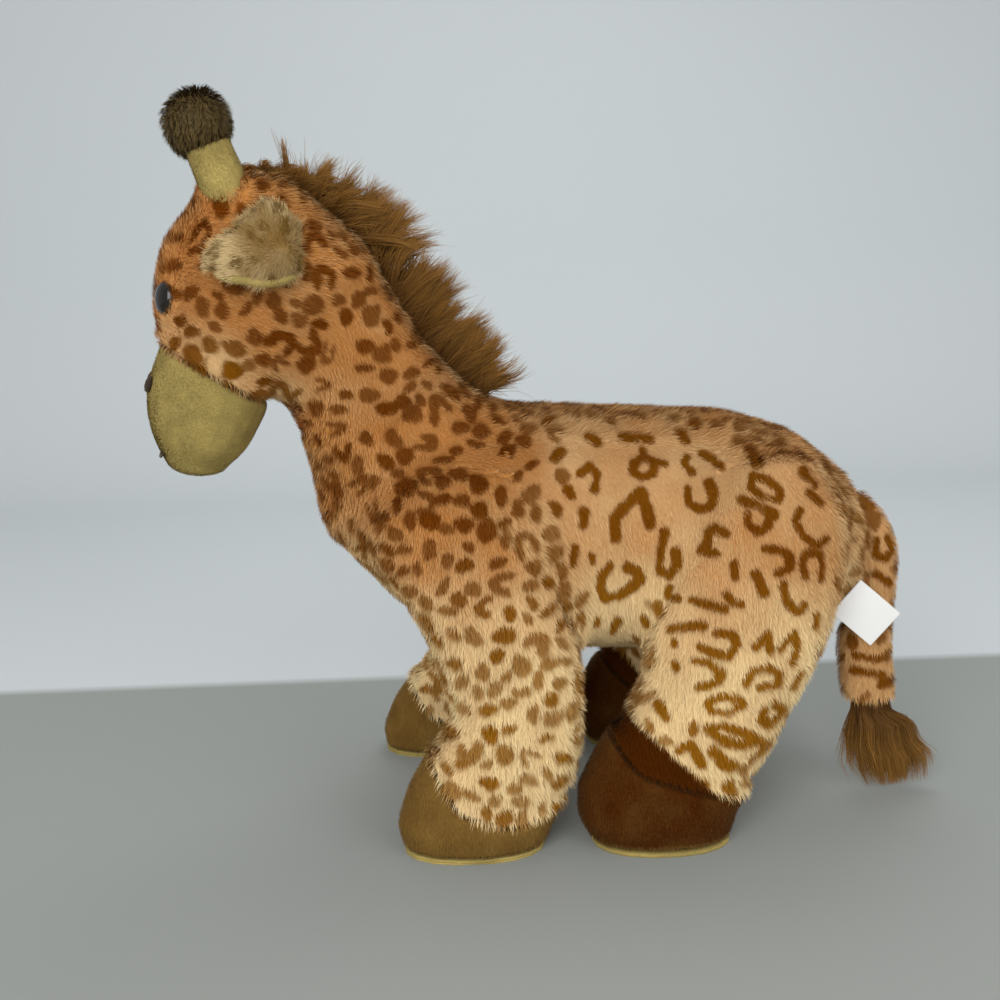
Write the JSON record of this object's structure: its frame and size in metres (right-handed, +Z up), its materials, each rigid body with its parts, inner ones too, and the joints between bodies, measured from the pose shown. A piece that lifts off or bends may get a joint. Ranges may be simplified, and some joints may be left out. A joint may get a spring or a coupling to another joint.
{
  "type": "plush giraffe",
  "caption": "Standing plush giraffe: stuffed spotted body, turned head with two horns, folded ears, long mane, four hoofed legs and a tufted tail.",
  "frame": {"origin": "middle of the box of the whole giraffe, on the surface that it stands on", "axes": "+X towards the tail, the head looks to -X; +Y to its right side, the label hangs on its left; +Z up"},
  "size_m": [0.5782, 0.249, 0.5348],
  "materials": {
    "spotted_plush": "short brushed pile, peach tan with orange-brown spots and cream tips",
    "cream_plush": "short brushed pile, cream",
    "tan_velour": "smooth short velour, beige tan",
    "brown_velour": "smooth short velour, brown",
    "knob_plush": "short brushed pile, dark grey-brown",
    "long_hair": "long straight pile, golden brown, lighter at the tips",
    "eye_plastic": "glossy, near black",
    "washer_plastic": "matte, white",
    "dark_thread": "embroidery thread, dark brown",
    "label_satin": "satin tape, white and bare"
  },
  "bodies": {
    "torso_body": {"torso": "spotted_plush", "belly_panel": "cream_plush", "neck": "spotted_plush", "mane_neck": "long_hair"},
    "head_body": {"head": "spotted_plush", "muzzle": "tan_velour", "eye_left": "eye_plastic", "eye_right": "eye_plastic", "eye_washer_left": "washer_plastic", "eye_washer_right": "washer_plastic", "nostril_left": "dark_thread", "nostril_right": "dark_thread", "mouth_thread": "dark_thread", "horn_stem_left": "tan_velour", "horn_stem_right": "tan_velour", "horn_knob_left": "knob_plush", "horn_knob_right": "knob_plush", "mane_head": "long_hair"},
    "ear_left_body": {"ear_left": "cream_plush", "ear_lining_left": "tan_velour"},
    "ear_right_body": {"ear_right": "cream_plush", "ear_lining_right": "tan_velour"},
    "leg_front_left_body": {"leg_front_left": "spotted_plush", "hoof_front_left": "brown_velour", "sole_front_left": "tan_velour"},
    "leg_front_right_body": {"leg_front_right": "spotted_plush", "hoof_front_right": "brown_velour", "sole_front_right": "tan_velour"},
    "leg_hind_left_body": {"leg_hind_left": "spotted_plush", "hoof_hind_left": "brown_velour", "sole_hind_left": "tan_velour"},
    "leg_hind_right_body": {"leg_hind_right": "spotted_plush", "hoof_hind_right": "brown_velour", "sole_hind_right": "tan_velour"},
    "tail_body": {"tail": "spotted_plush", "tail_tuft": "long_hair"},
    "label_flap": {"label": "label_satin"}
  },
  "joints": [
    {"name": "head_nod", "type": "hinge", "parent": "torso_body", "child": "head_body", "pos_m": [-0.15167, 0, 0.3586], "axis": [0.2379, -0.9688, -0.0698], "range_deg": [-8, 12], "stiffness_Nm_per_rad": 8},
    {"name": "ear_left_flop", "type": "hinge", "parent": "head_body", "child": "ear_left_body", "pos_m": [-0.177, -0.05986, 0.44959], "axis": [-0.7633, 0.6435, 0.0564], "range_deg": [-15, 20], "stiffness_Nm_per_rad": 0.03},
    {"name": "ear_right_flop", "type": "hinge", "parent": "head_body", "child": "ear_right_body", "pos_m": [-0.19871, 0.02853, 0.45596], "axis": [0.3783, 0.924, 0.0564], "range_deg": [-15, 20], "stiffness_Nm_per_rad": 0.03},
    {"name": "leg_front_left_swing", "type": "hinge", "parent": "torso_body", "child": "leg_front_left_body", "pos_m": [-0.06447, 0, 0.2152], "axis": [0, 1, 0], "range_deg": [-0.7, 12], "stiffness_Nm_per_rad": 6},
    {"name": "leg_hind_left_swing", "type": "hinge", "parent": "torso_body", "child": "leg_hind_left_body", "pos_m": [0.13553, 0, 0.2152], "axis": [0, 1, 0], "range_deg": [-12, 0.7], "stiffness_Nm_per_rad": 6},
    {"name": "leg_front_right_swing", "type": "hinge", "parent": "torso_body", "child": "leg_front_right_body", "pos_m": [-0.06447, 0, 0.2152], "axis": [0, 1, 0], "range_deg": [-0.7, 12], "stiffness_Nm_per_rad": 6},
    {"name": "leg_hind_right_swing", "type": "hinge", "parent": "torso_body", "child": "leg_hind_right_body", "pos_m": [0.13553, 0, 0.2152], "axis": [0, 1, 0], "range_deg": [-12, 0.7], "stiffness_Nm_per_rad": 6},
    {"name": "tail_swing", "type": "hinge", "parent": "torso_body", "child": "tail_body", "pos_m": [0.24423, 0, 0.22075], "axis": [0, -1, 0], "range_deg": [0, 40]},
    {"name": "label_hinge", "type": "hinge", "parent": "torso_body", "child": "label_flap", "pos_m": [0.2171, -0.0456, 0.16013], "axis": [-0.6691, 0, -0.7431], "range_deg": [0, 60]}
  ]
}
